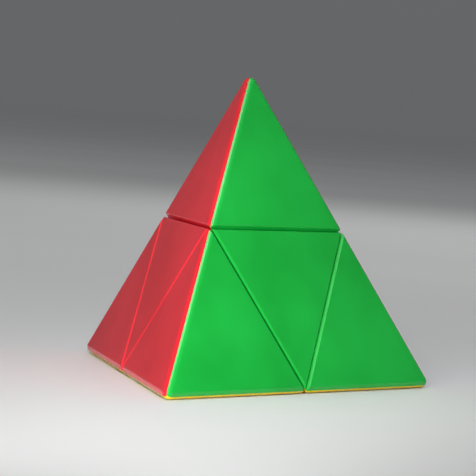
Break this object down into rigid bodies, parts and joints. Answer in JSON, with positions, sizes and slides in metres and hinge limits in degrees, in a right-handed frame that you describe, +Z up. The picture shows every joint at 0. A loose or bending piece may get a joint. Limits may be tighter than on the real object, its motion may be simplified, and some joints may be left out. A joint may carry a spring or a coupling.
{
  "type": "pyramid twisty puzzle",
  "caption": "Tetrahedral twisty puzzle: coloured triangular corners and faces that turn in halves about a sprung hidden core.",
  "frame": {"origin": "middle of the yellow base face, on the surface it rests on", "axes": "+Z up to the top corner, +X along the front edge of the base to the right, green face towards -Y"},
  "size_m": [0.0856, 0.0746, 0.0705],
  "materials": {
    "green_plastic": "gloss moulded",
    "red_plastic": "gloss moulded",
    "blue_plastic": "gloss moulded",
    "yellow_plastic": "gloss moulded",
    "black_plastic": "satin moulded",
    "mechanism_plastic": "satin moulded",
    "core_plastic": "satin moulded",
    "screw_steel": "bright zinc"
  },
  "bodies": {
    "core": {"core_spider": "core_plastic", "tension_screws": "screw_steel", "spring_washers": "screw_steel", "tension_springs": "screw_steel", "turning_centre_top_right": "mechanism_plastic", "turning_centre_top_back": "mechanism_plastic", "turning_centre_front_right": "mechanism_plastic", "turning_centre_front_back": "mechanism_plastic", "inner_edge_top_blue": "mechanism_plastic", "inner_edge_front_yellow": "mechanism_plastic", "inner_edge_right_green": "mechanism_plastic", "inner_edge_back_red": "mechanism_plastic"},
    "front_half": {"top_corner_body": "black_plastic", "top_corner_green_cap": "green_plastic", "top_corner_red_cap": "red_plastic", "top_corner_blue_cap": "blue_plastic", "front_corner_body": "black_plastic", "front_corner_green_cap": "green_plastic", "front_corner_red_cap": "red_plastic", "front_corner_yellow_cap": "yellow_plastic", "green_face_body": "black_plastic", "green_face_cap": "green_plastic", "red_face_body": "black_plastic", "red_face_cap": "red_plastic", "turning_centre_top_front": "mechanism_plastic", "inner_edge_top_green": "mechanism_plastic", "inner_edge_top_red": "mechanism_plastic", "inner_edge_front_green": "mechanism_plastic", "inner_edge_front_red": "mechanism_plastic"},
    "rear_half": {"right_corner_body": "black_plastic", "right_corner_green_cap": "green_plastic", "right_corner_blue_cap": "blue_plastic", "right_corner_yellow_cap": "yellow_plastic", "back_corner_body": "black_plastic", "back_corner_red_cap": "red_plastic", "back_corner_blue_cap": "blue_plastic", "back_corner_yellow_cap": "yellow_plastic", "blue_face_body": "black_plastic", "blue_face_cap": "blue_plastic", "yellow_face_body": "black_plastic", "yellow_face_cap": "yellow_plastic", "turning_centre_right_back": "mechanism_plastic", "inner_edge_right_blue": "mechanism_plastic", "inner_edge_right_yellow": "mechanism_plastic", "inner_edge_back_blue": "mechanism_plastic", "inner_edge_back_yellow": "mechanism_plastic"}
  },
  "joints": [
    {"name": "front_half_turn", "type": "hinge", "parent": "core", "child": "front_half", "pos_m": [0, 0, 0.01837], "axis": [-0.7071, -0.4082, 0.5774], "continuous": true},
    {"name": "rear_half_turn", "type": "hinge", "parent": "core", "child": "rear_half", "pos_m": [0, 0, 0.01837], "axis": [-0.7071, -0.4082, 0.5774], "continuous": true}
  ]
}
